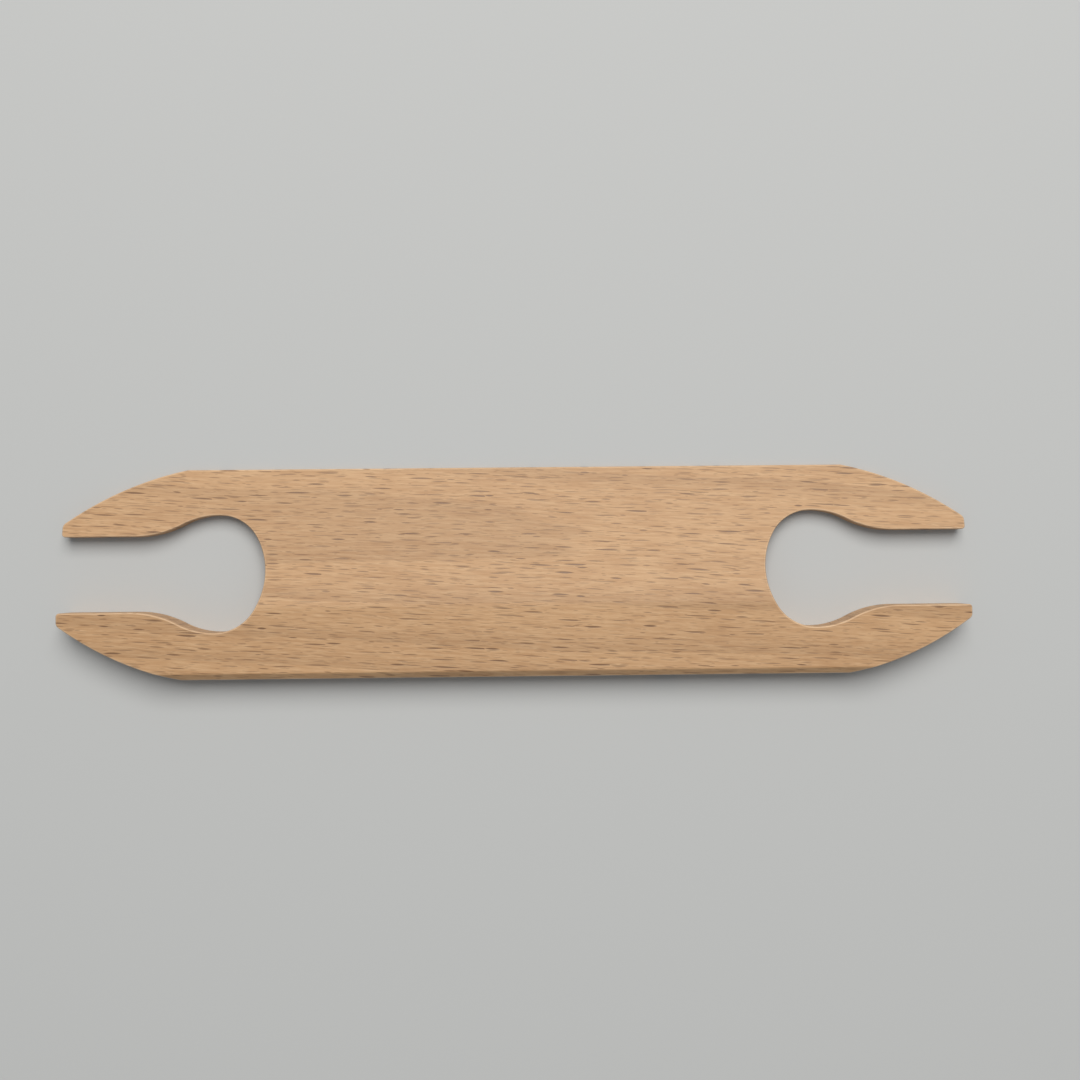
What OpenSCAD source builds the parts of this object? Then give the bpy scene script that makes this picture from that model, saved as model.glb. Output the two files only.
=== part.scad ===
// Flat belt weaving shuttle, worked from one board of wood.
// X runs along the grain from tip to tip, +Y points to the thin beating edge and +Z is up.
// The origin is the middle of the flat underside.

/* [Board] */
// Length from tip to tip
body_l = 220; // [180:1:300]
// Width from the thick back edge to the thin beating edge
body_w = 51; // [46:0.5:64]
// Thickness of the board along its back edge
body_t = 8; // [6:0.5:12]

/* [Beating edge] */
// Width of the full-thickness land beside the back edge
land_w = 17.5; // [8:0.5:24]
// Thickness that the long bevel leaves at the beating edge
edge_t = 1.2; // [0.8:0.1:3]
// How far the rounded nose of the beating edge stands out
nose_out = 0.3; // [0.1:0.05:0.35]

/* [Back edge] */
// Chamfer along the top arris of the back edge
back_chamfer = 1.5; // [0.5:0.1:3]
// Small chamfer along the bottom arris of the back edge
back_ease = 0.4; // [0.2:0.1:1.5]

/* [End tapers] */
// Length of each end taper, measured along the board
taper_l = 29.4; // [20:0.2:45]
// Radius of the bowed line that each taper follows
taper_r = 75; // [50:1:200]

/* [Fork tips] */
// Width of each blunt fork tip before its corners are rounded
tip_w = 3; // [2.6:0.1:6]
// Radius of the tip's outer corner
tip_outer_r = 1.6; // [0.4:0.1:2.4]
// Radius of the tip's corner at the mouth
tip_inner_r = 0.8; // [0.2:0.1:1.2]

/* [Yarn notches] */
// Depth of each notch, from the tips to its rounded inner end
notch_l = 49.5; // [42:0.5:70]
// Width of the straight mouth between the two forks
mouth_w = 18.3; // [12:0.1:21]
// Width of the notch at its widest place
notch_w = 28.4; // [23:0.2:34]
// Radius of the inner end
end_r = 17.5; // [15:0.5:30]
// Radius of the shoulder between the inner end and the widest place
shoulder_r = 10.8; // [6:0.1:11.4]
// Radius of the flare that runs from the widest place towards the mouth
flare_r = 18.8; // [18:0.2:26]
// Radius of the lip that turns the flare into the straight mouth
lip_r = 24; // [14:0.5:30]

/* [Hidden] */
$fn = 96;

// How far cutters run past the faces that they cut
over = 2;

// Section across the board: the bevel runs from the ridge to the nose
ridge_y = land_w - body_w / 2;
nose_y = body_w / 2 - nose_out;
nose_r = (pow(nose_out, 2) + pow(edge_t / 2, 2)) / (2 * nose_out);

// End taper: an arc from the long edge to the tip's outer corner
tip_x = body_l / 2;
taper_start = [tip_x - taper_l, body_w / 2];
taper_end = [tip_x, mouth_w / 2 + tip_w];
taper_chord = taper_end - taper_start;
taper_half = norm(taper_chord) / 2;
taper_inward = [taper_chord[1], -taper_chord[0]] / norm(taper_chord);
taper_mid = (taper_start + taper_end) / 2;
taper_c = taper_mid + taper_inward * sqrt(pow(taper_r, 2) - pow(taper_half, 2));

// Rounds on the two corners of a fork tip
outer_dx = tip_x - tip_outer_r - taper_c[0];
outer_dy = sqrt(pow(taper_r - tip_outer_r, 2) - pow(outer_dx, 2));
outer_c = taper_c + [outer_dx, outer_dy];
outer_dir = [outer_dx, outer_dy] / norm([outer_dx, outer_dy]);
inner_c = [tip_x - tip_inner_r, mouth_w / 2 + tip_inner_r];

// Notch: every arc is tangent to the next one
end_c = [tip_x - notch_l + end_r, 0];
shoulder_y = notch_w / 2 - shoulder_r;
shoulder_dx = sqrt(pow(end_r - shoulder_r, 2) - pow(shoulder_y, 2));
wide_x = end_c[0] - shoulder_dx;
flare_y = notch_w / 2 - flare_r;
lip_y = mouth_w / 2 + lip_r;
lip_dx = sqrt(pow(flare_r + lip_r, 2) - pow(lip_y - flare_y, 2));
lip_x = wide_x + lip_dx;
turn = [lip_dx, lip_y - flare_y] * flare_r / (flare_r + lip_r);
turn_x = wide_x + turn[0];
turn_y = flare_y + turn[1];

// Wood that one end taper leaves outside its arc, in the +X +Y corner
module taper_waste() {
    difference() {
        translate([taper_start[0] - over, taper_end[1] - over])
            square([taper_l + 2 * over, body_w / 2 - taper_end[1] + 2 * over]);
        translate(taper_c)
            circle(r = taper_r);
    }
}

// Sharp outer corner of a fork tip, beyond its round
module tip_outer_waste() {
    difference() {
        polygon([
            outer_c,
            outer_c + outer_dir * (tip_outer_r + over),
            taper_end + [over, over],
            [tip_x + over, outer_c[1]]
        ]);
        translate(outer_c)
            circle(r = tip_outer_r);
    }
}

// Sharp corner of a fork tip at the mouth, beyond its round
module tip_inner_waste() {
    difference() {
        translate([inner_c[0], inner_c[1] - tip_inner_r - over])
            square([tip_inner_r + over, tip_inner_r + over]);
        translate(inner_c)
            circle(r = tip_inner_r);
    }
}

// Inner end of the notch: a shallow arc carried into the shoulders
module notch_end() {
    intersection() {
        translate(end_c)
            circle(r = end_r);
        polygon([
            end_c,
            end_c + 3 * [-shoulder_dx, shoulder_y],
            [end_c[0] - 2 * end_r, 0],
            end_c + 3 * [-shoulder_dx, -shoulder_y]
        ]);
    }
    for (side = [-1, 1])
        translate([wide_x, side * shoulder_y])
            circle(r = shoulder_r);
}

// Stretch from the widest place to where the flare turns into the lip
module notch_flare() {
    intersection() {
        translate([wide_x, flare_y])
            circle(r = flare_r);
        translate([wide_x, -flare_y])
            circle(r = flare_r);
        translate([wide_x, -notch_w / 2 - over])
            square([turn[0], notch_w + 2 * over]);
    }
}

// Stretch between the two lips
module notch_lips() {
    difference() {
        translate([turn_x, -turn_y])
            square([lip_x - turn_x, 2 * turn_y]);
        for (side = [-1, 1])
            translate([lip_x, side * lip_y])
                circle(r = lip_r);
    }
}

// Keyhole notch in the +X end, open at the tips
module notch() {
    notch_end();
    notch_flare();
    notch_lips();
    translate([turn_x, -mouth_w / 2])
        square([tip_x - turn_x + over, mouth_w]);
}

// All the wood that is cut away at the +X end, seen from above
module end_waste() {
    notch();
    for (side = [0, 1]) {
        mirror([0, side]) {
            taper_waste();
            tip_outer_waste();
            tip_inner_waste();
        }
    }
}

// Section across the board: flat land, long bevel, rounded nose and chamfered back
module section() {
    polygon([
        [-body_w / 2, back_ease],
        [-body_w / 2 + back_ease, 0],
        [nose_y, 0],
        [nose_y, edge_t],
        [ridge_y, body_t],
        [-body_w / 2 + back_chamfer, body_t],
        [-body_w / 2, body_t - back_chamfer]
    ]);
    intersection() {
        translate([body_w / 2 - nose_r, edge_t / 2])
            circle(r = nose_r);
        translate([nose_y, -over])
            square([nose_out + over, edge_t + 2 * over]);
    }
}

// Board planed to its section, before its ends are cut
module board() {
    rotate([90, 0, 90])
        linear_extrude(height = body_l, center = true)
            section();
}

module shuttle_body() {
    color([0.73, 0.57, 0.41])
        difference() {
            board();
            for (end = [0, 1])
                mirror([end, 0, 0])
                    translate([0, 0, -over])
                        linear_extrude(height = body_t + 2 * over)
                            end_waste();
        }
}

shuttle_body();
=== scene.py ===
"""Looks of a belt weaving shuttle: one board of oiled beech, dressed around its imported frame.

The classes hold lengths in millimetres, as a maker would give them. Blender works in metres, so
each length passes through MM on its way into a mesh or the camera. Only the studio, whose floor
and lamp are far larger than the board, is given in metres.
"""
import logging
import math
from dataclasses import dataclass, fields
from enum import Enum
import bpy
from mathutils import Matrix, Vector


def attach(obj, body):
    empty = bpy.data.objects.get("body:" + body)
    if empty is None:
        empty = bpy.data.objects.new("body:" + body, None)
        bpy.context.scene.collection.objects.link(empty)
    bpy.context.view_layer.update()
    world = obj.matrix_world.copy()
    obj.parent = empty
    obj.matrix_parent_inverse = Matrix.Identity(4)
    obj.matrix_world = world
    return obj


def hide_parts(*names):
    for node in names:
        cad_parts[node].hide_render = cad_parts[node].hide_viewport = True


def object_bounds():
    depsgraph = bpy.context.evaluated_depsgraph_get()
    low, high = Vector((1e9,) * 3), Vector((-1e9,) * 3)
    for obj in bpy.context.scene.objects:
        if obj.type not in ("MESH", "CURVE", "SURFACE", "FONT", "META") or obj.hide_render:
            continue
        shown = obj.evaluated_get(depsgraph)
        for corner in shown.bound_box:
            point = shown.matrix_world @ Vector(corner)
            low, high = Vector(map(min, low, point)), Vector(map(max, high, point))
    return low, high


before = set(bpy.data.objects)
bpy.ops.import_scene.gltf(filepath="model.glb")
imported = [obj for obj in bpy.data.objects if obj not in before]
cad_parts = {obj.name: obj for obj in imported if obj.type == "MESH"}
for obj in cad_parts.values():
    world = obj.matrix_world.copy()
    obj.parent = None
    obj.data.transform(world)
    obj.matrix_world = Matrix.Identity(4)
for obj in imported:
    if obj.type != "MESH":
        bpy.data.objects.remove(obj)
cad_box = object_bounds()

from types import SimpleNamespace
from typing import Any

import bpy
from mathutils import Matrix, Vector

MM = 0.001

# Points closer than WELD become one. Solids that cut each other run past by OVERRUN.
WELD = 0.001 * MM
OVERRUN = 2.0 * MM

# The Mix node has sockets for each type of data. These are the ones that it uses for colours.
MIX_INPUTS = (0, 6, 7)
MIX_OUTPUT = 2

Colour = tuple[float, float, float]
Triple = tuple[float, float, float]
Range = tuple[float, float]
log = logging.getLogger("shuttle")


class TreeValue:
    """A number inside a node tree. Ordinary arithmetic on it adds Math nodes to the tree."""

    def __init__(self, tree: bpy.types.NodeTree, socket: bpy.types.NodeSocket) -> None:
        """Wraps the socket that puts the number out."""
        self.tree = tree
        self.socket = socket

    def math(self, operation: str, *others: "Number") -> "TreeValue":
        """Adds a Math node.

        Args:
            operation: Name of the Math node's operation.
            others: Numbers for its second and third inputs.

        Returns:
            The node's result.
        """
        node = self.tree.nodes.new("ShaderNodeMath")
        node.operation = operation
        for socket, value in zip(node.inputs, (self, *others)):
            feed(self.tree, socket, value)
        return TreeValue(self.tree, node.outputs[0])

    def __add__(self, other: "Number") -> "TreeValue":
        """Sum."""
        return self.math("ADD", other)

    def __sub__(self, other: "Number") -> "TreeValue":
        """Difference."""
        return self.math("SUBTRACT", other)

    def __rsub__(self, other: float) -> "TreeValue":
        """Difference from a plain number."""
        return self.math("MULTIPLY_ADD", -1.0, other)

    def __mul__(self, other: "Number") -> "TreeValue":
        """Product."""
        return self.math("MULTIPLY", other)

    def __truediv__(self, other: "Number") -> "TreeValue":
        """Quotient."""
        return self.math("DIVIDE", other)

    def __neg__(self) -> "TreeValue":
        """Opposite number."""
        return self.math("MULTIPLY", -1.0)

    def squared(self) -> "TreeValue":
        """Square."""
        return self.math("POWER", 2.0)

    def root(self) -> "TreeValue":
        """Square root."""
        return self.math("SQRT")


Number = TreeValue | float


def feed(tree: bpy.types.NodeTree, socket: bpy.types.NodeSocket, value: Any) -> None:
    """Gives an input its value.

    Args:
        tree: The tree that holds the input's node.
        socket: The input.
        value: A tree value or an output socket, which is linked, or a plain value, which is set.
    """
    if isinstance(value, TreeValue):
        value = value.socket
    if isinstance(value, bpy.types.NodeSocket):
        tree.links.new(value, socket)
    else:
        socket.default_value = value


class Bench:
    """A node tree under construction."""

    def __init__(self, tree: bpy.types.NodeTree) -> None:
        """Takes the tree that the nodes go into."""
        self.tree = tree

    def node(self, kind: str, feeds: dict[str | int, Any] | None = None, **settings: Any) -> Any:
        """Adds a node.

        Args:
            kind: The node's type.
            feeds: Values or sockets for its inputs, by name or number.
            settings: The node's own settings.

        Returns:
            The new node.
        """
        made = self.tree.nodes.new(kind)
        for name, value in settings.items():
            setattr(made, name, value)
        for key, value in (feeds or {}).items():
            feed(self.tree, made.inputs[key], value)
        return made

    def value(self, socket: bpy.types.NodeSocket) -> TreeValue:
        """Lets a socket's number be used in sums."""
        return TreeValue(self.tree, socket)

    def difference(self, first: Number, second: Number) -> TreeValue:
        """Takes one number from another, where either may be a plain one."""
        node = self.node("ShaderNodeMath", {0: first, 1: second}, operation="SUBTRACT")
        return self.value(node.outputs[0])

    def vector(self, x: Any = 0.0, y: Any = 0.0, z: Any = 0.0) -> bpy.types.NodeSocket:
        """Puts three numbers together as one vector."""
        return self.node("ShaderNodeCombineXYZ", {0: x, 1: y, 2: z}).outputs[0]

    def split(self, vector: bpy.types.NodeSocket) -> tuple[TreeValue, TreeValue, TreeValue]:
        """Takes a vector apart into its three numbers."""
        outputs = self.node("ShaderNodeSeparateXYZ", {0: vector}).outputs
        return self.value(outputs[0]), self.value(outputs[1]), self.value(outputs[2])

    def vector_math(self, operation: str, feeds: dict[str | int, Any]) -> bpy.types.NodeSocket:
        """Adds a Vector Math node and puts out its vector."""
        return self.node("ShaderNodeVectorMath", feeds, operation=operation).outputs[0]

    def ramp(self, value: Any, low: float, high: float, smooth: bool = True) -> TreeValue:
        """Maps a number to 0 at low and 1 at high, and holds it there beyond them.

        Args:
            value: The number.
            low: Where the result is 0.
            high: Where the result is 1.
            smooth: Whether the ramp eases in and out.

        Returns:
            The result, from 0 to 1.
        """
        kind = "SMOOTHSTEP" if smooth else "LINEAR"
        feeds = {"Value": value, "From Min": low, "From Max": high}
        return self.value(self.node("ShaderNodeMapRange", feeds, interpolation_type=kind).outputs[0])

    def join(self, *parts: bpy.types.NodeSocket) -> bpy.types.NodeSocket:
        """Joins several geometries.

        Args:
            parts: The geometries.

        Returns:
            One geometry with all of them.
        """
        node = self.node("GeometryNodeJoinGeometry")
        for part in parts:
            self.tree.links.new(part, node.inputs[0])
        return node.outputs[0]

    def transform(self, geometry: bpy.types.NodeSocket, feeds: dict[str, Any]) -> bpy.types.NodeSocket:
        """Moves, turns or scales a geometry by the feeds of a Transform node."""
        return self.node("GeometryNodeTransform", {"Geometry": geometry, **feeds}).outputs[0]


@dataclass(frozen=True)
class BoardSizes:
    """Sizes of the board, in millimetres. Each becomes a named input of its Geometry Nodes tree."""

    length: float
    width: float
    thickness: float
    land_width: float = 17.5
    edge_thickness: float = 1.2
    nose_out: float = 0.3
    back_chamfer: float = 1.5
    taper_length: float = 29.4
    taper_radius: float = 75.0
    tip_width: float = 3.0
    tip_outer_radius: float = 1.6
    tip_inner_radius: float = 0.8
    notch_depth: float = 49.5
    mouth_width: float = 18.3
    notch_width: float = 28.4
    end_radius: float = 17.5
    shoulder_radius: float = 10.8
    flare_radius: float = 18.8
    lip_radius: float = 24.0
    ridge_radius: float = 7.0
    chamfer_radius: float = 0.7

    @classmethod
    def from_box(cls, low: Vector, high: Vector) -> "BoardSizes":
        """Takes length, width and thickness from the frame's box, in metres."""
        length, width, thickness = (high - low) / MM
        return cls(length, width, thickness)


@dataclass(frozen=True)
class Arc:
    """One arc of the plan outline, between two angles about its centre."""

    radius: TreeValue
    centre_x: Number
    centre_y: Number
    start: Number
    stop: Number


@dataclass(frozen=True)
class PlanOutline:
    """The board's outline seen from above, as a chain of tangent arcs in each quarter."""

    bench: Bench
    sizes: SimpleNamespace
    facet_angle: float = math.radians(2.5)

    def arc(self, arc: Arc) -> bpy.types.NodeSocket:
        """Draws one arc.

        Args:
            arc: Its radius, its centre and its two angles.

        Returns:
            The arc as a curve, in facets no wider than the facet angle.
        """
        bench = self.bench
        sweep = bench.difference(arc.stop, arc.start)
        feeds = {
            "Resolution": (sweep / self.facet_angle).math("CEIL") + 1.0,
            "Radius": arc.radius,
            "Start Angle": arc.start,
            "Sweep Angle": sweep,
        }
        curve = bench.node("GeometryNodeCurveArc", feeds, mode="RADIUS").outputs[0]
        return bench.transform(curve, {"Translation": bench.vector(arc.centre_x, arc.centre_y)})

    def line(self, start: tuple[Number, Number], stop: tuple[Number, Number]) -> bpy.types.NodeSocket:
        """Draws one straight line as a curve."""
        feeds = {"Start": self.bench.vector(*start), "End": self.bench.vector(*stop)}
        return self.bench.node("GeometryNodeCurvePrimitiveLine", feeds, mode="POINTS").outputs[0]

    def notch(self) -> list[bpy.types.NodeSocket]:
        """Draws the keyhole notch of one quarter.

        Returns:
            Its curves, from the notch's inner end to the mouth's corner.
        """
        s = self.sizes
        tip_x, mouth_y = s.length / 2, s.mouth_width / 2
        end_x = tip_x - s.notch_depth + s.end_radius
        shoulder_y = s.notch_width / 2 - s.shoulder_radius
        shoulder_dx = ((s.end_radius - s.shoulder_radius).squared() - shoulder_y.squared()).root()
        shoulder_angle = shoulder_y.math("ARCTAN2", -shoulder_dx)
        wide_x = end_x - shoulder_dx
        flare_y = s.notch_width / 2 - s.flare_radius
        lip_y = mouth_y + s.lip_radius
        rise = lip_y - flare_y
        lip_dx = ((s.flare_radius + s.lip_radius).squared() - rise.squared()).root()
        flare_angle = rise.math("ARCTAN2", lip_dx)
        lip_x = wide_x + lip_dx
        corner_x, corner_y = tip_x - s.tip_inner_radius, mouth_y + s.tip_inner_radius
        arcs = [
            Arc(s.end_radius, end_x, 0.0, shoulder_angle, math.pi),
            Arc(s.shoulder_radius, wide_x, shoulder_y, math.pi / 2, shoulder_angle),
            Arc(s.flare_radius, wide_x, flare_y, flare_angle, math.pi / 2),
            Arc(s.lip_radius, lip_x, lip_y, flare_angle + math.pi, 1.5 * math.pi),
            Arc(s.tip_inner_radius, corner_x, corner_y, 1.5 * math.pi, 2 * math.pi),
        ]
        return [self.arc(arc) for arc in arcs] + [self.line((lip_x, mouth_y), (corner_x, mouth_y))]

    def taper(self) -> list[bpy.types.NodeSocket]:
        """Draws the outer side of one quarter.

        Returns:
            Its curves: the blunt tip, the bowed taper and the long edge.
        """
        s = self.sizes
        tip_x, half = s.length / 2, s.width / 2
        run = s.taper_length
        fall = half - s.mouth_width / 2 - s.tip_width
        chord = (run.squared() + fall.squared()).root()
        reach = (s.taper_radius.squared() - (chord / 2).squared()).root()
        centre_x = tip_x - run / 2 - reach * fall / chord
        centre_y = half - fall / 2 - reach * run / chord
        edge_x = tip_x - run
        edge_angle = (half - centre_y).math("ARCTAN2", edge_x - centre_x)
        outer_dx = tip_x - s.tip_outer_radius - centre_x
        outer_dy = ((s.taper_radius - s.tip_outer_radius).squared() - outer_dx.squared()).root()
        outer_angle = outer_dy.math("ARCTAN2", outer_dx)
        outer_x, outer_y = centre_x + outer_dx, centre_y + outer_dy
        return [
            self.line((tip_x, s.mouth_width / 2 + s.tip_inner_radius), (tip_x, outer_y)),
            self.arc(Arc(s.tip_outer_radius, outer_x, outer_y, 0.0, outer_angle)),
            self.arc(Arc(s.taper_radius, centre_x, centre_y, outer_angle, edge_angle)),
            self.line((edge_x, half), (0.0, half)),
        ]

    def closed_curve(self) -> bpy.types.NodeSocket:
        """Mirrors the quarter to the other three and closes them.

        Returns:
            The whole outline as one closed curve.
        """
        bench = self.bench
        quarter = bench.join(*self.notch(), *self.taper())
        edges = bench.node("GeometryNodeCurveToMesh", {"Curve": quarter}).outputs[0]
        copies = [
            bench.transform(edges, {"Scale": (along, across, 1.0)})
            for along in (1.0, -1.0)
            for across in (1.0, -1.0)
        ]
        welded = weld(bench, bench.join(*copies))
        return bench.node("GeometryNodeMeshToCurve", {"Mesh": welded}).outputs[0]


@dataclass(frozen=True)
class SectionOutline:
    """The planed section: flat land, softened ridge, long bevel and chamfered back.

    It runs a little wider than the board, whose long edges the plan outline cuts. The corners out
    there have a radius too, because a fillet of nothing would leave several points in one place.
    """

    bench: Bench
    sizes: SimpleNamespace
    fillet_facets: int = 6
    outside_radius: float = 0.1

    def corners(self) -> list[tuple[Number, Number, Number]]:
        """Lists the section's corners.

        Returns:
            For each corner, its place across, its height and the radius that rounds it.
        """
        s = self.sizes
        outside = self.outside_radius * MM
        half = s.width / 2
        ridge_y = s.land_width - half
        slope = (s.thickness - s.edge_thickness) / (half - s.nose_out - ridge_y)
        thin_z = s.edge_thickness - slope * (s.nose_out + OVERRUN)
        thick_z = s.thickness - s.back_chamfer - OVERRUN
        return [
            (-half - OVERRUN, 0.0, outside),
            (half + OVERRUN, 0.0, outside),
            (half + OVERRUN, thin_z, outside),
            (ridge_y, s.thickness, s.ridge_radius),
            (s.back_chamfer - half, s.thickness, s.chamfer_radius),
            (-half - OVERRUN, thick_z, outside),
        ]

    def closed_curve(self) -> bpy.types.NodeSocket:
        """Draws the section.

        Returns:
            One closed curve with rounded corners.
        """
        bench = self.bench
        corners = self.corners()
        places = [bench.vector(across, up) for across, up, _ in corners]
        radii = [radius for _, _, radius in corners]
        ring = bench.node("GeometryNodeCurvePrimitiveCircle", {"Resolution": len(corners)}).outputs[0]
        feeds = {"Geometry": ring, "Position": by_index(bench, "VECTOR", places)}
        placed = bench.node("GeometryNodeSetPosition", feeds).outputs[0]
        feeds = {
            "Curve": placed,
            "Count": self.fillet_facets,
            "Radius": by_index(bench, "FLOAT", radii),
            "Limit Radius": True,
        }
        return bench.node("GeometryNodeFilletCurve", feeds, mode="POLY").outputs[0]


def by_index(bench: Bench, data_type: str, values: list[Any]) -> bpy.types.NodeSocket:
    """Gives each point its own value by its place in the order.

    Args:
        bench: The tree to build in.
        data_type: The values' type, as the Index Switch node names it.
        values: One value for each point.

    Returns:
        The value of the point that is read.
    """
    index = bench.node("GeometryNodeInputIndex").outputs[0]
    switch = bench.node("GeometryNodeIndexSwitch", {"Index": index}, data_type=data_type)
    while len(switch.index_switch_items) < len(values):
        switch.index_switch_items.new()
    for number, value in enumerate(values):
        feed(bench.tree, switch.inputs[str(number)], value)
    return switch.outputs[0]


def weld(bench: Bench, geometry: bpy.types.NodeSocket) -> bpy.types.NodeSocket:
    """Merges points that lie closer than the weld distance."""
    feeds = {"Geometry": geometry, "Distance": WELD}
    return bench.node("GeometryNodeMergeByDistance", feeds).outputs[0]


def prism(bench: Bench, outline: bpy.types.NodeSocket, height: Number) -> bpy.types.NodeSocket:
    """Raises a closed flat curve into a closed solid.

    Args:
        bench: The tree to build in.
        outline: The closed curve, in the plane Z = 0.
        height: How far the solid rises along Z.

    Returns:
        The solid.
    """
    sheet = bench.node("GeometryNodeFillCurve", {"Curve": outline}, mode="NGONS").outputs[0]
    feeds = {
        "Mesh": sheet,
        "Offset": bench.vector(z=height),
        "Offset Scale": 1.0,
        "Individual": False,
    }
    raised = bench.node("GeometryNodeExtrudeMesh", feeds, mode="FACES").outputs[0]
    base = bench.node("GeometryNodeFlipFaces", {"Mesh": sheet}).outputs[0]
    return weld(bench, bench.join(raised, base))


@dataclass(frozen=True)
class ShuttleBoard:
    """The shuttle: a planed board with a fork and a keyhole notch at each end."""

    sizes: BoardSizes
    name: str = "beech_board"
    arris_width: float = 0.35
    arris_facets: int = 3
    sharp_angle: float = math.radians(30)

    def planed(self, bench: Bench, sizes: SimpleNamespace) -> bpy.types.NodeSocket:
        """Planes the timber.

        Args:
            bench: The tree to build in.
            sizes: The tree values of the board's sizes.

        Returns:
            A solid of the board's section, along X and past both of the board's ends.
        """
        outline = SectionOutline(bench, sizes).closed_curve()
        upright = prism(bench, outline, sizes.length + 2 * OVERRUN)
        start = bench.vector(-sizes.length / 2 - OVERRUN)
        return bench.transform(upright, {"Rotation": (math.pi / 2, 0.0, math.pi / 2), "Translation": start})

    def sawn(self, bench: Bench, sizes: SimpleNamespace) -> bpy.types.NodeSocket:
        """Saws the plan outline.

        Args:
            bench: The tree to build in.
            sizes: The tree values of the board's sizes.

        Returns:
            A solid of the board's plan, along Z and past both of the board's faces.
        """
        outline = PlanOutline(bench, sizes).closed_curve()
        block = prism(bench, outline, sizes.thickness + 2 * OVERRUN)
        return bench.transform(block, {"Translation": (0.0, 0.0, -OVERRUN)})

    def tree(self, material: bpy.types.Material) -> tuple[bpy.types.NodeTree, dict[str, str]]:
        """Builds the Geometry Nodes tree of the board.

        Args:
            material: The finish that the tree sets on every face.

        Returns:
            The tree, and the identifier of each size's input.
        """
        tree = bpy.data.node_groups.new("shuttle board", "GeometryNodeTree")
        bench = Bench(tree)
        tree.interface.new_socket("Geometry", in_out="OUTPUT", socket_type="NodeSocketGeometry")
        names = [size.name for size in fields(self.sizes)]
        identifiers = {}
        for name in names:
            label = name.replace("_", " ").capitalize()
            socket = tree.interface.new_socket(label, in_out="INPUT", socket_type="NodeSocketFloat")
            socket.subtype = "DISTANCE"
            identifiers[name] = socket.identifier
        inputs = bench.node("NodeGroupInput").outputs
        sizes = SimpleNamespace(**{name: bench.value(socket) for name, socket in zip(names, inputs)})

        cut = bench.node("GeometryNodeMeshBoolean", operation="INTERSECT", solver="EXACT")
        for solid in (self.planed(bench, sizes), self.sawn(bench, sizes)):
            tree.links.new(solid, cut.inputs["Mesh 2"])
        smooth = bench.node("GeometryNodeSetShadeSmooth", {"Geometry": cut.outputs["Mesh"]}).outputs[0]
        real = bench.node("GeometryNodeRealizeInstances", {"Geometry": smooth}).outputs[0]
        feeds = {"Geometry": real, "Material": material}
        bench.node("NodeGroupOutput", {0: bench.node("GeometryNodeSetMaterial", feeds).outputs[0]})
        return tree, identifiers

    def build(self, face: bpy.types.Material, arris: bpy.types.Material) -> bpy.types.Object:
        """Cuts the board, eases its arrises and makes it a plain mesh.

        Args:
            face: The finish of the planed and sawn faces.
            arris: The finish of the eased arrises.

        Returns:
            The board as an object at the origin.
        """
        board = new_object(self.name, bpy.data.meshes.new(self.name))
        tree, identifiers = self.tree(face)
        cutting = board.modifiers.new("cutting", "NODES")
        cutting.node_group = tree
        for name, identifier in identifiers.items():
            cutting[identifier] = getattr(self.sizes, name) * MM
        settle(board)
        board.data.materials.append(arris)
        easing = board.modifiers.new("arrises", "BEVEL")
        easing.limit_method = "ANGLE"
        easing.angle_limit = self.sharp_angle
        easing.width = self.arris_width * MM
        easing.segments = self.arris_facets
        easing.use_clamp_overlap = False
        easing.material = len(board.data.materials) - 1
        flattening = board.modifiers.new("flat faces", "WEIGHTED_NORMAL")
        flattening.keep_sharp = True
        settle(board)
        return board


def new_object(name: str, data: bpy.types.ID) -> bpy.types.Object:
    """Makes an object and links it to the scene.

    Args:
        name: The object's name.
        data: Its mesh, light or camera.

    Returns:
        The object.
    """
    made = bpy.data.objects.new(name, data)
    bpy.context.scene.collection.objects.link(made)
    return made


def settle(piece: bpy.types.Object) -> None:
    """Turns what the modifiers make into the piece's own plain mesh, and removes them.

    Args:
        piece: The piece.
    """
    evaluated = piece.evaluated_get(bpy.context.evaluated_depsgraph_get())
    mesh = bpy.data.meshes.new_from_object(evaluated)
    mesh.name = piece.name
    piece.modifiers.clear()
    piece.data = mesh


@dataclass(frozen=True)
class RayRow:
    """One size of ray fleck, in millimetres."""

    pitch_along: float
    pitch_across: float
    half_length: float
    half_width: float
    strength: float
    shift: float


class RaySize(Enum):
    """The sizes in which the rays show on a face."""

    BROAD = RayRow(7.6, 2.3, 3.7, 0.24, 1.0, 0.0)
    MIDDLE = RayRow(5.4, 1.25, 2.7, 0.17, 0.72, 17.3)
    FINE = RayRow(3.4, 0.62, 1.6, 0.11, 0.48, 41.9)


@dataclass(frozen=True)
class FibreRow:
    """How far one kind of fibre reaches along, across and into the board, in millimetres."""

    length: float
    width: float
    depth: float


class FibreSize(Enum):
    """The fibres of the timber, from its broad figure to its finest lines."""

    FIGURE = FibreRow(60.0, 6.0, 6.0)
    STRAND = FibreRow(9.0, 0.55, 2.0)
    HAIR = FibreRow(3.0, 0.2, 1.0)


@dataclass(frozen=True)
class BeechFinish:
    """One finish of the timber: its colours, and how much each pattern counts in it.

    The relief is in millimetres, and the shares go from 0 to 1.
    """

    name: str
    pale: Colour
    warm: Colour
    ray: Colour
    end_grain: Colour
    bleach: Colour
    roughness: float
    relief: float
    figure_share: float = 0.45
    strand_share: float = 0.4
    bleach_share: float = 0.55
    ring_share: float = 0.16
    end_share: float = 0.8
    ray_share: float = 0.8
    hair_roughness: float = 0.08
    ray_polish: float = 0.1
    hair_relief: float = 0.4
    strand_relief: float = 0.3
    bump_strength: float = 0.5


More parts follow.
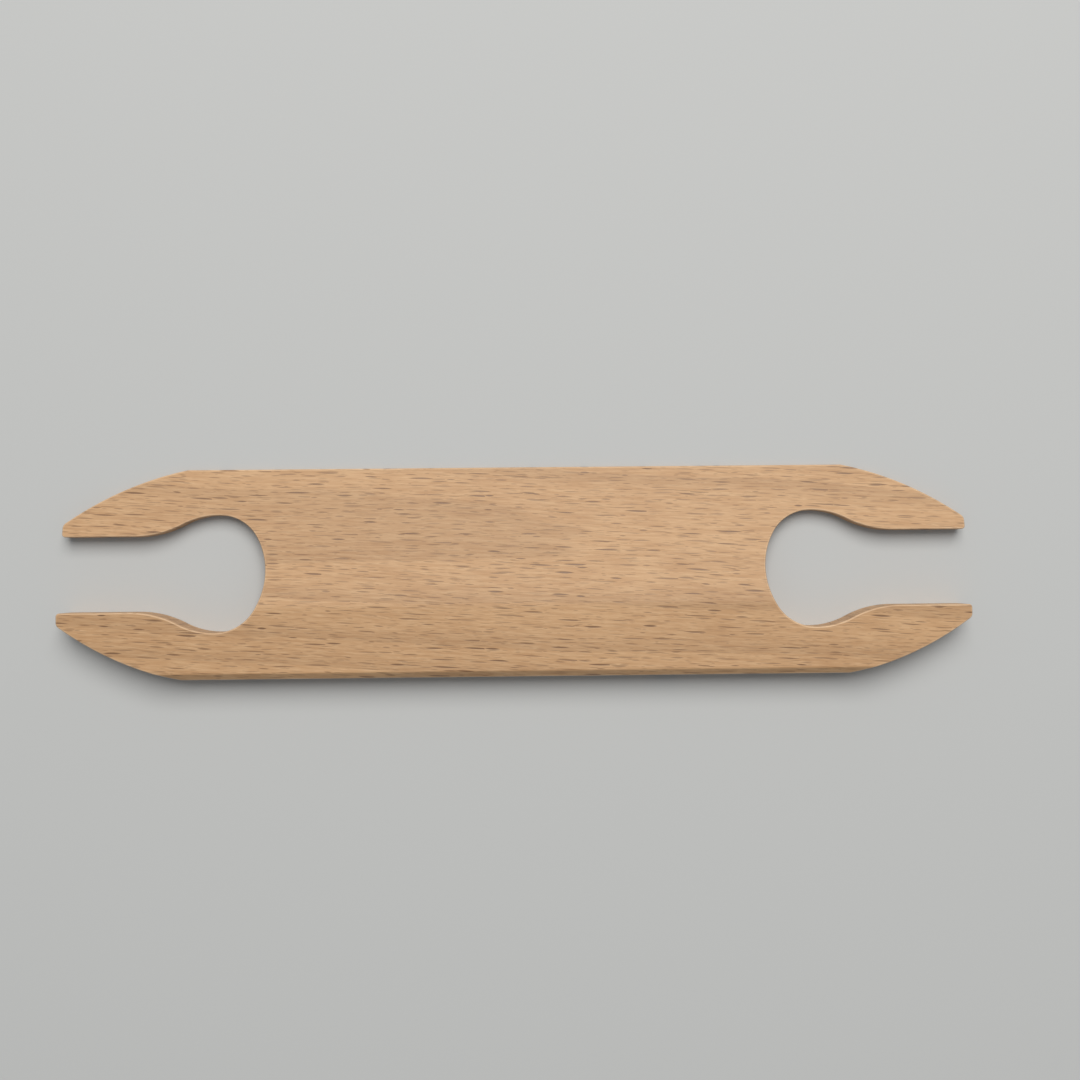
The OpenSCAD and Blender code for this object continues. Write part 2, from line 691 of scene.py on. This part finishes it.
FACE = BeechFinish(
    name="sanded beech",
    pale=(0.56, 0.335, 0.168),
    warm=(0.45, 0.252, 0.118),
    ray=(0.12, 0.052, 0.02),
    end_grain=(0.30, 0.17, 0.085),
    bleach=(0.66, 0.45, 0.26),
    roughness=0.52,
    relief=0.05,
)
ARRIS = BeechFinish(
    name="eased arris",
    pale=(0.66, 0.44, 0.26),
    warm=(0.56, 0.35, 0.19),
    ray=(0.24, 0.12, 0.055),
    end_grain=(0.42, 0.26, 0.145),
    bleach=(0.74, 0.55, 0.36),
    roughness=0.45,
    relief=0.03,
)


@dataclass
class Timber:
    """The beech itself, as solid patterns that run through the board, and its finishes.

    Lengths are in millimetres. A reach says how far one change goes along X, Y and Z. The ray
    ranges are shares of a row's size. Luck is the random number of a ray, and its range is what
    makes it palest and darkest.
    """

    grain_slope: float = math.radians(2.6)
    sway: float = 3.2
    sway_reach: Triple = (75.0, 37.5, 37.5)
    ripple: float = 0.34
    ripple_reach: Triple = (8.0, 2.0, 4.0)
    ray_scatter: float = 0.9
    ray_length: Range = (0.3, 1.05)
    ray_width: Range = (0.6, 1.2)
    ray_luck: Range = (-0.1, 0.85)
    ray_rim: float = 0.5
    fibre_detail: float = 2.0
    fibre_raggedness: float = 0.6
    fibre_contrast: Range = (0.3, 0.7)
    pith_depth: float = 40.0
    ring_width: float = 2.7
    ring_stray: float = 0.7
    ring_reach: Triple = (90.0, 9.0, 9.0)
    late_wood: Range = (0.35, 0.95)
    end_facing: Range = (0.3, 0.9)

    def __post_init__(self) -> None:
        """Builds the shader groups that the finishes share."""
        self.grain = self.grain_group()
        self.rays = self.ray_group()
        self.fibres = self.fibre_group()
        self.rings = self.ring_group()
        self.ends = self.end_group()

    def group(self, name: str, inputs: dict[str, str], outputs: dict[str, str]) -> tuple[Bench, Any, Any]:
        """Starts a shader node group.

        Args:
            name: The group's name.
            inputs: The type of each input, by name.
            outputs: The type of each output, by name.

        Returns:
            The group's bench, its input sockets and its output node.
        """
        tree = bpy.data.node_groups.new(name, "ShaderNodeTree")
        for socket, kind in inputs.items():
            tree.interface.new_socket(socket, in_out="INPUT", socket_type=f"NodeSocket{kind}")
        for socket, kind in outputs.items():
            tree.interface.new_socket(socket, in_out="OUTPUT", socket_type=f"NodeSocket{kind}")
        bench = Bench(tree)
        return bench, bench.node("NodeGroupInput").outputs, bench.node("NodeGroupOutput")

    def wander(self, bench: Bench, place: bpy.types.NodeSocket, reach: Triple) -> TreeValue:
        """Makes a slow change over the board.

        Args:
            bench: The tree to build in.
            place: A place in millimetres.
            reach: How far one change goes along X, Y and Z.

        Returns:
            The change, from -0.5 to 0.5.
        """
        stretched = bench.vector_math("DIVIDE", {0: place, 1: reach})
        noise = bench.node("ShaderNodeTexNoise", {"Vector": stretched, "Scale": 1.0, "Detail": 1.0})
        return bench.value(noise.outputs["Fac"]) - 0.5

    def grain_group(self) -> bpy.types.NodeTree:
        """Turns a place on the board into a place in its grain.

        Returns:
            A group whose result is in millimetres, sloping and slightly wavy.
        """
        bench, inputs, output = self.group("grain", {"Position": "Vector"}, {"Grain": "Vector"})
        place = bench.vector_math("SCALE", {0: inputs[0], "Scale": 1 / MM})
        feeds = {"Vector": place, "Rotation": (0.0, 0.0, self.grain_slope)}
        along, across, up = bench.split(bench.node("ShaderNodeMapping", feeds).outputs[0])
        sway = self.wander(bench, place, self.sway_reach)
        ripple = self.wander(bench, place, self.ripple_reach)
        across = across + sway * self.sway + ripple * self.ripple
        feed(bench.tree, output.inputs[0], bench.vector(along, across, up))
        return bench.tree

    def ray_group(self) -> bpy.types.NodeTree:
        """Draws ray flecks: spindles that lie along the grain, each in a cell of its own.

        Returns:
            A group that puts out 1 in the middle of a dark ray and 0 between rays.
        """
        sizes = ["Pitch along", "Pitch across", "Half length", "Half width", "Shift"]
        kinds = {"Grain": "Vector", **{size: "Float" for size in sizes}}
        bench, inputs, output = self.group("ray flecks", kinds, {"Mask": "Float"})
        pitch_along, pitch_across, half_length, half_width, shift = (
            bench.value(inputs[size]) for size in sizes
        )
        along, across, _ = bench.split(inputs["Grain"])
        cell = bench.vector(along / pitch_along + shift, across / pitch_across + shift)
        feeds = {"Vector": cell, "Scale": 1.0, "Randomness": self.ray_scatter}
        voronoi = bench.node("ShaderNodeTexVoronoi", feeds, voronoi_dimensions="2D", feature="F1").outputs
        away = bench.vector_math("SUBTRACT", {0: cell, 1: voronoi["Position"]})
        off_along, off_across, _ = bench.split(away)
        luck = bench.node("ShaderNodeSeparateColor", {0: voronoi["Color"]}).outputs
        longer, wider, darker = (bench.value(socket) for socket in luck)
        shortest, longest = self.ray_length
        narrowest, widest = self.ray_width
        reach = off_along * pitch_along / (half_length * (longer * (longest - shortest) + shortest))
        breadth = (off_across * pitch_across).math("ABSOLUTE")
        breadth = breadth / (half_width * (wider * (widest - narrowest) + narrowest))
        inside = 1.0 - reach.squared() - breadth
        mask = bench.ramp(inside, 0.0, self.ray_rim) * bench.ramp(darker, *self.ray_luck, smooth=False)
        feed(bench.tree, output.inputs[0], mask)
        return bench.tree

    def fibre_group(self) -> bpy.types.NodeTree:
        """Draws the fibres between the rays.

        Returns:
            A group that puts out 0 where a fibre is dark and 1 where it is pale.
        """
        kinds = {"Grain": "Vector", "Length": "Float", "Width": "Float", "Depth": "Float"}
        bench, inputs, output = self.group("fibres", kinds, {"Value": "Float"})
        size = bench.vector(*(inputs[name] for name in ("Length", "Width", "Depth")))
        feeds = {
            "Vector": bench.vector_math("DIVIDE", {0: inputs["Grain"], 1: size}),
            "Scale": 1.0,
            "Detail": self.fibre_detail,
            "Roughness": self.fibre_raggedness,
        }
        noise = bench.node("ShaderNodeTexNoise", feeds).outputs["Fac"]
        feed(bench.tree, output.inputs[0], bench.ramp(noise, *self.fibre_contrast))
        return bench.tree

    def ring_group(self) -> bpy.types.NodeTree:
        """Draws the growth rings round a pith below the board.

        Returns:
            A group that puts out 1 at the dark end of each ring.
        """
        bench, inputs, output = self.group("growth rings", {"Grain": "Vector"}, {"Ring": "Float"})
        _, across, up = bench.split(inputs["Grain"])
        radius = (across.squared() + (up + self.pith_depth).squared()).root()
        stray = self.wander(bench, inputs["Grain"], self.ring_reach)
        turn = (radius / self.ring_width + stray * self.ring_stray).math("FRACT")
        start, end = self.late_wood
        feed(bench.tree, output.inputs[0], bench.ramp(turn, start, end) * bench.ramp(turn, 1.0, end))
        return bench.tree

    def end_group(self) -> bpy.types.NodeTree:
        """Tells how far a face cuts across the grain.

        Returns:
            A group that puts out 0 on a long face and 1 on an end.
        """
        bench, _, output = self.group("end grain", {}, {"Mask": "Float"})
        normal = bench.node("ShaderNodeNewGeometry").outputs["Normal"]
        facing = bench.split(normal)[0].math("ABSOLUTE")
        feed(bench.tree, output.inputs[0], bench.ramp(facing, *self.end_facing))
        return bench.tree

    def use(self, bench: Bench, group: bpy.types.NodeTree, feeds: dict[str, Any]) -> TreeValue:
        """Places one of the shared groups in a material.

        Args:
            bench: The material's tree.
            group: The group.
            feeds: Values or sockets for its inputs, by name.

        Returns:
            What the group puts out.
        """
        node = bench.node("ShaderNodeGroup", feeds, node_tree=group)
        return bench.value(node.outputs[0])

    def fibre(self, bench: Bench, grain: TreeValue, size: FibreSize) -> TreeValue:
        """Places one size of fibre in a material.

        Args:
            bench: The material's tree.
            grain: The place in the grain.
            size: The size.

        Returns:
            The fibre's value, from 0 for dark to 1 for pale.
        """
        row = size.value
        feeds = {"Grain": grain, "Length": row.length, "Width": row.width, "Depth": row.depth}
        return self.use(bench, self.fibres, feeds)

    def ray(self, bench: Bench, grain: TreeValue, size: RaySize) -> TreeValue:
        """Places one size of ray fleck in a material.

        Args:
            bench: The material's tree.
            grain: The place in the grain.
            size: The size.

        Returns:
            The mask of these rays, from 0 to the row's strength.
        """
        row = size.value
        feeds = {
            "Grain": grain,
            "Pitch along": row.pitch_along,
            "Pitch across": row.pitch_across,
            "Half length": row.half_length,
            "Half width": row.half_width,
            "Shift": row.shift,
        }
        return self.use(bench, self.rays, feeds) * row.strength

    def mix(self, bench: Bench, share: Number, first: Any, second: Any) -> bpy.types.NodeSocket:
        """Mixes two colours.

        Args:
            bench: The material's tree.
            share: How much of the second colour is taken, from 0 to 1.
            first: A colour or a socket.
            second: A colour or a socket.

        Returns:
            The mixed colour.
        """
        node = bench.node("ShaderNodeMix", data_type="RGBA")
        for number, value in zip(MIX_INPUTS, (share, first, second)):
            if isinstance(value, tuple):
                value = (*value, 1.0)
            feed(bench.tree, node.inputs[number], value)
        return node.outputs[MIX_OUTPUT]

    def material(self, finish: BeechFinish) -> bpy.types.Material:
        """Makes one finish of the timber as a material.

        Args:
            finish: Its colours, roughness, relief and shares.

        Returns:
            The material.
        """
        made = bpy.data.materials.new(finish.name)
        made.use_nodes = True
        bench = Bench(made.node_tree)
        surface = made.node_tree.nodes["Principled BSDF"]
        position = bench.node("ShaderNodeTexCoord").outputs["Object"]
        grain = self.use(bench, self.grain, {"Position": position})
        figure, strand, hair = (self.fibre(bench, grain, size) for size in FibreSize)
        rays, *finer_rays = (self.ray(bench, grain, size) for size in RaySize)
        for finer in finer_rays:
            rays = rays.math("MAXIMUM", finer)

        pale_share = figure * finish.figure_share + strand * finish.strand_share
        colour = self.mix(bench, pale_share, finish.warm, finish.pale)
        colour = self.mix(bench, hair * strand * finish.bleach_share, colour, finish.bleach)
        ring = self.use(bench, self.rings, {"Grain": grain})
        colour = self.mix(bench, ring * finish.ring_share, colour, finish.ray)
        end = self.use(bench, self.ends, {})
        colour = self.mix(bench, end * finish.end_share, colour, finish.end_grain)
        colour = self.mix(bench, rays * finish.ray_share, colour, finish.ray)
        feed(bench.tree, surface.inputs["Base Color"], colour)

        roughness = hair * finish.hair_roughness - rays * finish.ray_polish + finish.roughness
        feed(bench.tree, surface.inputs["Roughness"], roughness)
        feeds = {
            "Height": hair * finish.hair_relief + strand * finish.strand_relief - rays,
            "Distance": finish.relief * MM,
            "Strength": finish.bump_strength,
        }
        feed(bench.tree, surface.inputs["Normal"], bench.node("ShaderNodeBump", feeds).outputs[0])
        return made


@dataclass(frozen=True)
class Studio:
    """A plain pale floor, a pale surrounding light and one large soft lamp. Lengths in metres."""

    floor_side: float = 4.0
    floor_colour: Colour = (0.50, 0.51, 0.51)
    floor_roughness: float = 0.8
    around_colour: Colour = (0.93, 0.97, 1.0)
    around_strength: float = 0.3
    lamp_colour: Colour = (1.0, 0.97, 0.93)
    lamp_place: Triple = (0.1, 0.75, 1.25)
    lamp_side: float = 1.1
    lamp_power: float = 22.0

    def floor(self) -> None:
        """Lays the floor under the board."""
        mesh = bpy.data.meshes.new("floor")
        half = self.floor_side / 2
        corners = [(-half, -half, 0.0), (half, -half, 0.0), (half, half, 0.0), (-half, half, 0.0)]
        mesh.from_pydata(corners, [], [(0, 1, 2, 3)])
        floor = new_object("floor", mesh)
        made = bpy.data.materials.new("pale floor")
        made.use_nodes = True
        surface = made.node_tree.nodes["Principled BSDF"]
        surface.inputs["Base Color"].default_value = (*self.floor_colour, 1.0)
        surface.inputs["Roughness"].default_value = self.floor_roughness
        mesh.materials.append(made)

    def lights(self) -> None:
        """Lights the board from all round and from one soft lamp beyond its thin edge."""
        world = bpy.data.worlds.new("surroundings")
        world.use_nodes = True
        background = world.node_tree.nodes["Background"]
        background.inputs["Color"].default_value = (*self.around_colour, 1.0)
        background.inputs["Strength"].default_value = self.around_strength
        bpy.context.scene.world = world
        light = bpy.data.lights.new("soft lamp", "AREA")
        light.shape = "SQUARE"
        light.size = self.lamp_side
        light.energy = self.lamp_power
        light.color = self.lamp_colour
        lamp = new_object("soft lamp", light)
        place = Vector(self.lamp_place)
        aim = place.to_track_quat("Z", "Y").to_matrix().to_4x4()
        lamp.matrix_world = Matrix.Translation(place) @ aim


@dataclass(frozen=True)
class OverheadCamera:
    """A short lens held over the board, leaning a little. Lengths in millimetres."""

    height: float = 276.0
    aside: float = 2.27
    focal_length: float = 37.2
    turn: float = math.radians(0.58)
    lean_right: float = math.radians(0.745)
    lean_up: float = math.radians(1.567)
    nearest: float = 10.0

    def build(self) -> None:
        """Makes the camera and looks through it."""
        right = Vector((math.cos(self.turn), -math.sin(self.turn), 0.0))
        up = Vector((math.sin(self.turn), math.cos(self.turn), 0.0))
        upright = Vector((0.0, 0.0, 1.0))
        back = upright - right * math.tan(self.lean_right) - up * math.tan(self.lean_up)
        back.normalize()
        right = up.cross(back).normalized()
        up = back.cross(right)
        data = bpy.data.cameras.new("camera")
        data.lens = self.focal_length
        data.clip_start = self.nearest * MM
        camera = new_object("camera", data)
        place = Vector((self.aside, 0.0, self.height)) * MM
        turned = Matrix((right, up, back)).transposed().to_4x4()
        camera.matrix_world = Matrix.Translation(place) @ turned
        bpy.context.scene.camera = camera


def main() -> None:
    """Builds the camera, the studio and the board, and reports the board."""
    logging.basicConfig(level=logging.INFO, format="%(name)s: %(message)s")
    bpy.context.scene.view_settings.view_transform = "Standard"
    OverheadCamera().build()
    studio = Studio()
    studio.floor()
    studio.lights()
    timber = Timber()
    sizes = BoardSizes.from_box(*cad_box)
    board = ShuttleBoard(sizes).build(timber.material(FACE), timber.material(ARRIS))
    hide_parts("shuttle_body")
    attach(board, "root")
    log.info("%s: %d faces, %d points", board.name, len(board.data.polygons), len(board.data.vertices))
    bpy.context.view_layer.update()


if __name__ == "__main__":
    main()
